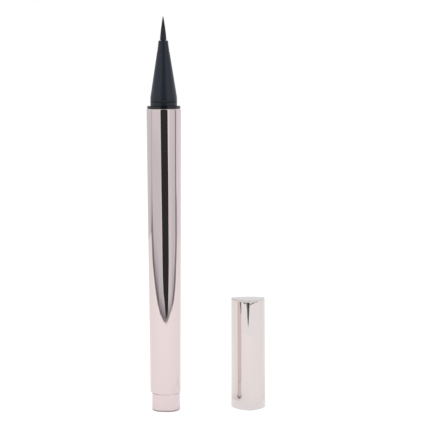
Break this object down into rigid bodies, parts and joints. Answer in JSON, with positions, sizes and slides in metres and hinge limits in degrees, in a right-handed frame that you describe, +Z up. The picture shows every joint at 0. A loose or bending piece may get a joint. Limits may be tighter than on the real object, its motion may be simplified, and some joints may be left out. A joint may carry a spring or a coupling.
{
  "type": "felt-tip eyeliner pen",
  "caption": "Slim pen standing on its tail with a fine felt nib, and its soft three-cornered cap standing beside it on its open rim.",
  "frame": {"origin": "centre of the tail plug's flat foot, on which the pen stands", "axes": "+Z up along the pen's axis towards the nib; +X from the pen towards the cap; -Y towards the viewer of the picture"},
  "size_m": [0.0391, 0.0146, 0.1309],
  "materials": {
    "metallised_pink": "mirror-bright metallised plastic under a pale pink lacquer",
    "black_plastic": "glossy neutral black",
    "slate_black_plastic": "satin bluish black",
    "black_rubber": "matt",
    "inked_fibre": "ink-soaked bonded fibre",
    "natural_plastic": "undyed, slightly milky",
    "steel": "bright"
  },
  "bodies": {
    "pen": {"barrel_shell": "metallised_pink", "tail_plug": "metallised_pink", "tank_stopper": "natural_plastic", "stopper_seal": "black_rubber", "ink_tank": "natural_plastic", "core_guide": "natural_plastic", "collector": "natural_plastic", "relay_core": "inked_fibre", "front_cone": "slate_black_plastic", "collar_ring": "black_plastic", "cap_grip_ring": "black_rubber", "nib_holder": "slate_black_plastic", "felt_nib": "inked_fibre"},
    "ball": {"mixing_ball": "steel"},
    "cap": {"cap_shell": "metallised_pink", "cap_liner": "natural_plastic", "cup_retainer": "natural_plastic", "spring_seat": "natural_plastic", "seal_spring": "steel"},
    "inner_cap": {"seal_cup": "natural_plastic"}
  },
  "joints": [
    {"name": "cap_lift", "type": "slide", "parent": "pen", "child": "cap", "axis": [0, 0, 1], "range_m": [0, 0.135]},
    {"name": "cup_press", "type": "slide", "parent": "cap", "child": "inner_cap", "axis": [0, 0, 1], "range_m": [0, 0.0015], "stiffness_N_per_m": 200, "springref_m": -0.001, "deforming": ["seal_spring"]},
    {"name": "ball_travel", "type": "slide", "parent": "pen", "child": "ball", "axis": [0, 0, 1], "range_m": [0, 0.046]}
  ]
}
